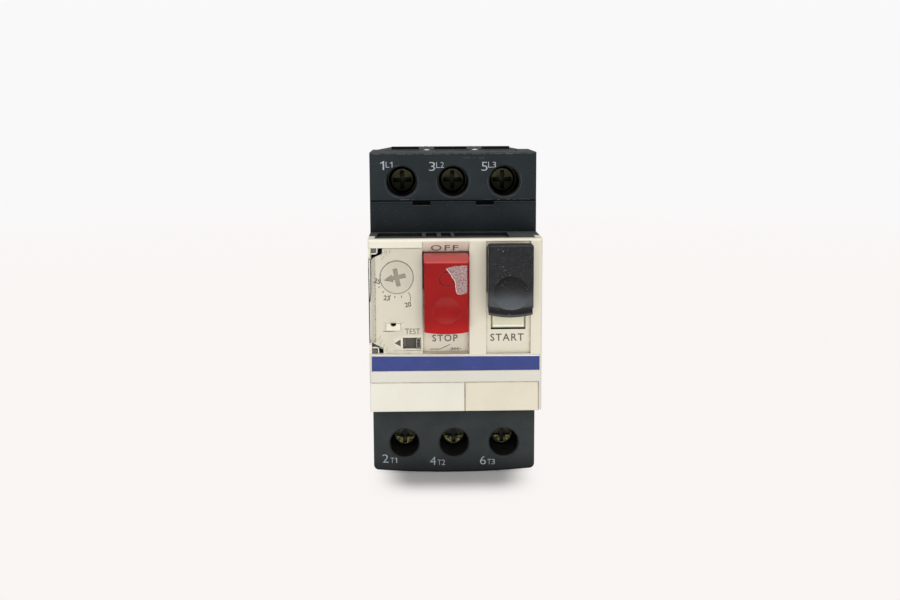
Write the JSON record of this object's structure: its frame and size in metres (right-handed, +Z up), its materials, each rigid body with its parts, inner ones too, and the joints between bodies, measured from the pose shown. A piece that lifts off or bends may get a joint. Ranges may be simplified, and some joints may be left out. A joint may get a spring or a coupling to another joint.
{
  "type": "motor protection circuit breaker",
  "caption": "Rail-mounted motor protection circuit breaker with start and stop push-buttons, a setting dial under a clear flap and screw-clamp terminals.",
  "frame": {"origin": "centre of the rail seat, on the plane where the rail flanges rest", "axes": "+X to the right of someone facing the buttons, +Y from the buttons towards the rail, +Z up along the case"},
  "size_m": [0.0446, 0.0785, 0.089],
  "materials": {
    "dark_case": "fine matte",
    "cream_cover": "satin",
    "start_black": "dusty satin",
    "stop_red": "satin",
    "carrier_grey": "satin",
    "label_blue": "printed film",
    "clear_plastic": "clear, slightly scuffed",
    "dial_grey": "satin",
    "black_plastic": "satin",
    "zinc_steel": "yellow zinc plate",
    "copper": "bright copper",
    "saddle_steel": "zinc plate",
    "bimetal_strip": "dull rolled"
  },
  "bodies": {
    "case": {"rear_base": "dark_case", "upper_terminal_block": "dark_case", "lower_terminal_block": "dark_case", "front_casing": "dark_case", "front_cover": "cream_cover", "name_label": "label_blue", "marker_plate": "cream_cover", "aux_contact_cover": "cream_cover", "case_rivets": "zinc_steel", "mechanism_pin": "zinc_steel", "start_spring": "zinc_steel", "stop_spring": "zinc_steel", "din_clip_spring": "zinc_steel", "arc_plates": "zinc_steel", "bimetal_heaters": "bimetal_strip", "line_bar_1": "copper", "line_bar_2": "copper", "line_bar_3": "copper", "coil_bar_1": "copper", "coil_bar_2": "copper", "coil_bar_3": "copper", "load_bar_1": "copper", "load_bar_2": "copper", "load_bar_3": "copper", "trip_coil_1": "copper", "trip_coil_2": "copper", "trip_coil_3": "copper", "bimetal_1": "bimetal_strip", "bimetal_2": "bimetal_strip", "bimetal_3": "bimetal_strip"},
    "start": {"start_button": "start_black", "start_carrier": "carrier_grey"},
    "stop": {"stop_button": "stop_red"},
    "contacts": {"contact_carrier": "black_plastic", "contact_springs": "zinc_steel", "contact_bridge_1": "copper", "contact_bridge_2": "copper", "contact_bridge_3": "copper"},
    "drive_lever": {"drive_lever": "black_plastic"},
    "trip_lever": {"trip_lever": "black_plastic"},
    "dial": {"setting_dial": "dial_grey"},
    "test": {"test_slider": "black_plastic"},
    "trip_slider": {"trip_slider": "dark_case"},
    "clear_cover": {"clear_cover": "clear_plastic"},
    "din_clip": {"din_clip": "black_plastic"},
    "plunger_1": {"plunger_1": "zinc_steel"},
    "plunger_2": {"plunger_2": "zinc_steel"},
    "plunger_3": {"plunger_3": "zinc_steel"},
    "saddle_1": {"terminal_saddle_1": "saddle_steel"},
    "screw_1": {"terminal_screw_1": "zinc_steel"},
    "saddle_2": {"terminal_saddle_2": "saddle_steel"},
    "screw_2": {"terminal_screw_2": "zinc_steel"},
    "saddle_3": {"terminal_saddle_3": "saddle_steel"},
    "screw_3": {"terminal_screw_3": "zinc_steel"},
    "saddle_4": {"terminal_saddle_4": "saddle_steel"},
    "screw_4": {"terminal_screw_4": "zinc_steel"},
    "saddle_5": {"terminal_saddle_5": "saddle_steel"},
    "screw_5": {"terminal_screw_5": "zinc_steel"},
    "saddle_6": {"terminal_saddle_6": "saddle_steel"},
    "screw_6": {"terminal_screw_6": "zinc_steel"}
  },
  "joints": [
    {"name": "start_push", "type": "slide", "parent": "case", "child": "start", "axis": [0, 1, 0], "range_m": [0, 0.005], "deforming": ["start_spring"]},
    {"name": "contacts_close", "type": "slide", "parent": "case", "child": "contacts", "axis": [0, 1, 0], "range_m": [0, 0.003]},
    {"name": "drive_lever_turn", "type": "hinge", "parent": "case", "child": "drive_lever", "pos_m": [0.01357, -0.0405, -0.002], "axis": [-1, 0, 0], "range_deg": [0, 23.4]},
    {"name": "stop_push", "type": "slide", "parent": "case", "child": "stop", "axis": [0, 1, 0], "range_m": [0, 0.003], "stiffness_N_per_m": 600, "springref_m": -0.004, "deforming": ["stop_spring"]},
    {"name": "trip_lever_turn", "type": "hinge", "parent": "case", "child": "trip_lever", "pos_m": [-0.00245, -0.0405, -0.002], "axis": [-1, 0, 0], "range_deg": [0, 14.05]},
    {"name": "dial_turn", "type": "hinge", "parent": "case", "child": "dial", "pos_m": [-0.015, -0.0605, 0.01265], "axis": [0, -1, 0], "range_deg": [0, 103]},
    {"name": "test_push", "type": "slide", "parent": "case", "child": "test", "axis": [-1, 0, 0], "range_m": [0, 0.002], "stiffness_N_per_m": 300, "springref_m": -0.001},
    {"name": "trip_slider_shift", "type": "slide", "parent": "case", "child": "trip_slider", "axis": [-1, 0, 0], "range_m": [0, 0.002]},
    {"name": "clear_cover_swing", "type": "hinge", "parent": "case", "child": "clear_cover", "pos_m": [-0.0214, -0.0583, 0.0065], "axis": [0, 0, -1], "range_deg": [0, 100]},
    {"name": "din_clip_pull", "type": "slide", "parent": "case", "child": "din_clip", "axis": [0, 0, -1], "range_m": [0, 0.003], "stiffness_N_per_m": 1500, "springref_m": -0.005, "deforming": ["din_clip_spring"]},
    {"name": "plunger_1_lift", "type": "slide", "parent": "case", "child": "plunger_1", "axis": [0, 0, 1], "range_m": [0, 0.0022]},
    {"name": "plunger_2_lift", "type": "slide", "parent": "case", "child": "plunger_2", "axis": [0, 0, 1], "range_m": [0, 0.0022]},
    {"name": "plunger_3_lift", "type": "slide", "parent": "case", "child": "plunger_3", "axis": [0, 0, 1], "range_m": [0, 0.0022]},
    {"name": "clamp_1", "type": "slide", "parent": "case", "child": "saddle_1", "axis": [0, 1, 0], "range_m": [0, 0.004]},
    {"name": "screw_1_turn", "type": "hinge", "parent": "saddle_1", "child": "screw_1", "pos_m": [-0.0137, -0.034, 0.036], "axis": [0, 1, 0], "range_deg": [0, 2058]},
    {"name": "clamp_2", "type": "slide", "parent": "case", "child": "saddle_2", "axis": [0, 1, 0], "range_m": [0, 0.004]},
    {"name": "screw_2_turn", "type": "hinge", "parent": "saddle_2", "child": "screw_2", "pos_m": [-0.0137, -0.034, -0.036], "axis": [0, 1, 0], "range_deg": [0, 2058]},
    {"name": "clamp_3", "type": "slide", "parent": "case", "child": "saddle_3", "axis": [0, 1, 0], "range_m": [0, 0.004]},
    {"name": "screw_3_turn", "type": "hinge", "parent": "saddle_3", "child": "screw_3", "pos_m": [0, -0.034, 0.036], "axis": [0, 1, 0], "range_deg": [0, 2058]},
    {"name": "clamp_4", "type": "slide", "parent": "case", "child": "saddle_4", "axis": [0, 1, 0], "range_m": [0, 0.004]},
    {"name": "screw_4_turn", "type": "hinge", "parent": "saddle_4", "child": "screw_4", "pos_m": [0, -0.034, -0.036], "axis": [0, 1, 0], "range_deg": [0, 2058]},
    {"name": "clamp_5", "type": "slide", "parent": "case", "child": "saddle_5", "axis": [0, 1, 0], "range_m": [0, 0.004]},
    {"name": "screw_5_turn", "type": "hinge", "parent": "saddle_5", "child": "screw_5", "pos_m": [0.0137, -0.034, 0.036], "axis": [0, 1, 0], "range_deg": [0, 2058]},
    {"name": "clamp_6", "type": "slide", "parent": "case", "child": "saddle_6", "axis": [0, 1, 0], "range_m": [0, 0.004]},
    {"name": "screw_6_turn", "type": "hinge", "parent": "saddle_6", "child": "screw_6", "pos_m": [0.0137, -0.034, -0.036], "axis": [0, 1, 0], "range_deg": [0, 2058]}
  ],
  "couplings": [
    {"joint": "contacts_close", "follows": "start_push", "ratio": 0.6},
    {"joint": "drive_lever_turn", "follows": "start_push", "rad_per_m": 81.68},
    {"joint": "trip_lever_turn", "follows": "stop_push", "rad_per_m": 81.68},
    {"joint": "trip_slider_shift", "follows": "test_push", "ratio": 1},
    {"joint": "screw_1_turn", "follows": "clamp_1", "rad_per_m": 8976},
    {"joint": "screw_2_turn", "follows": "clamp_2", "rad_per_m": 8976},
    {"joint": "screw_3_turn", "follows": "clamp_3", "rad_per_m": 8976},
    {"joint": "screw_4_turn", "follows": "clamp_4", "rad_per_m": 8976},
    {"joint": "screw_5_turn", "follows": "clamp_5", "rad_per_m": 8976},
    {"joint": "screw_6_turn", "follows": "clamp_6", "rad_per_m": 8976}
  ]
}
